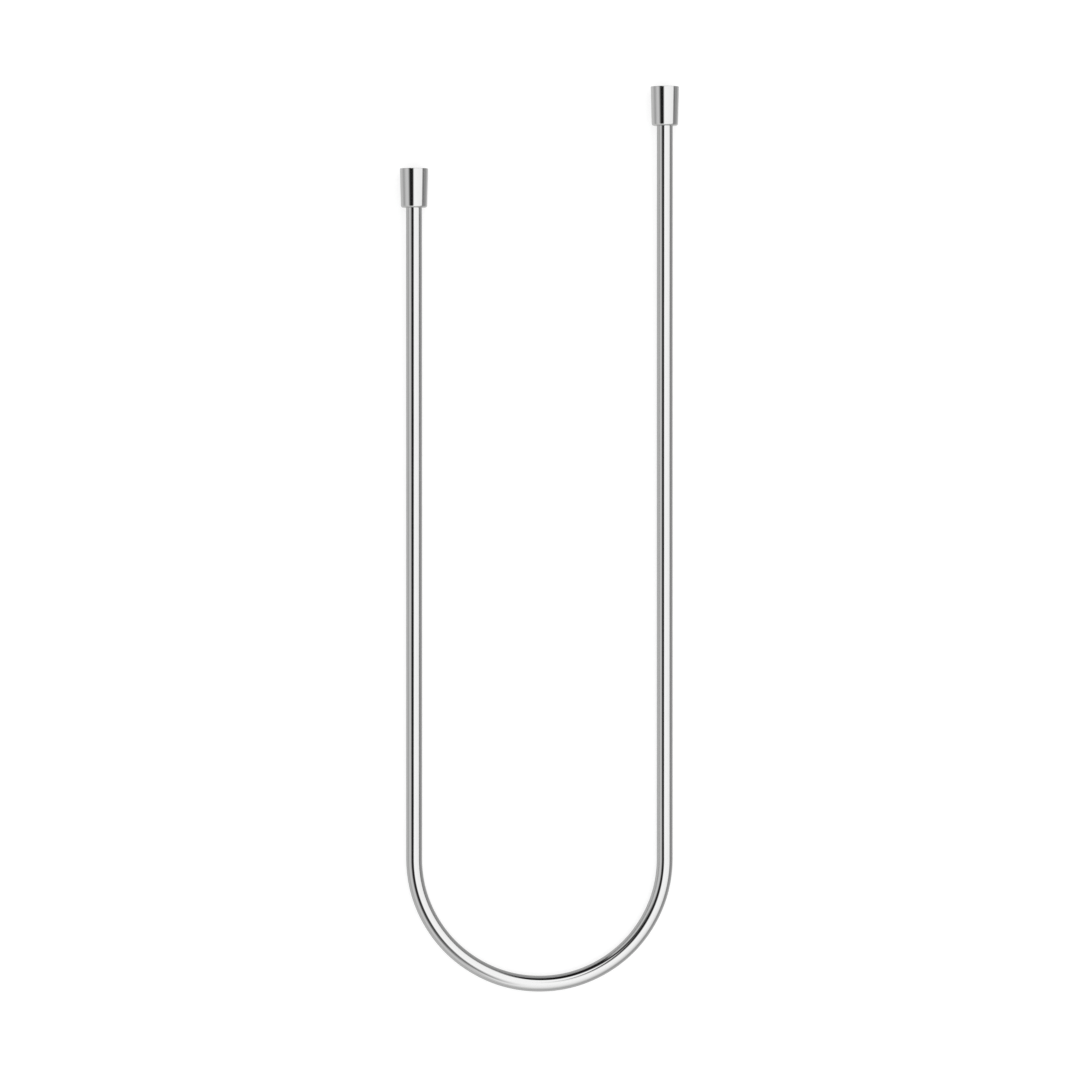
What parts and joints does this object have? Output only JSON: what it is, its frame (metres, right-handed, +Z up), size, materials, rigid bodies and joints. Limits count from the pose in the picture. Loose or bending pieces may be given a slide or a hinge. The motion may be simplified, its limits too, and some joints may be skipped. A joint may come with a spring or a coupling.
{
  "type": "shower hose",
  "caption": "Smooth silver shower hose laid flat in a U, with a free-turning chrome cone nut at each end that screws to a pipe thread.",
  "frame": {"origin": "on the floor, midway between the two end fittings", "axes": "+Z up from the floor, +Y the way the nuts' mouths point, +X from the wall end to the handset end"},
  "size_m": [0.2406, 0.7807, 0.0244],
  "materials": {
    "silver_hose": "gloss",
    "chrome": "polished",
    "brass": "satin",
    "stainless": "satin",
    "rubber": "matte",
    "acetal": "satin"
  },
  "bodies": {
    "hose": {"hose": "silver_hose", "wall_washer": "rubber", "wall_tail": "brass", "wall_ferrule": "stainless", "handset_washer": "rubber", "handset_tail": "brass", "handset_ferrule": "stainless"},
    "wall_bearing": {"wall_slip_ring": "acetal"},
    "wall_nut": {"wall_nut": "chrome"},
    "handset_bearing": {"handset_slip_ring": "acetal"},
    "handset_nut": {"handset_nut": "chrome"}
  },
  "joints": [
    {"name": "wall_nut_slide", "type": "slide", "parent": "hose", "child": "wall_bearing", "axis": [0, -0.9997, -0.0262], "range_m": [0, 0.06]},
    {"name": "wall_nut_spin", "type": "hinge", "parent": "wall_bearing", "child": "wall_nut", "pos_m": [-0.1081, -0.0184, 0.01221], "axis": [0, 0.9997, 0.0262], "continuous": true},
    {"name": "handset_nut_slide", "type": "slide", "parent": "hose", "child": "handset_bearing", "axis": [0, -0.9997, -0.0262], "range_m": [0, 0.06]},
    {"name": "handset_nut_spin", "type": "hinge", "parent": "handset_bearing", "child": "handset_nut", "pos_m": [0.1081, 0.0522, 0.01221], "axis": [0, 0.9997, 0.0262], "continuous": true}
  ]
}
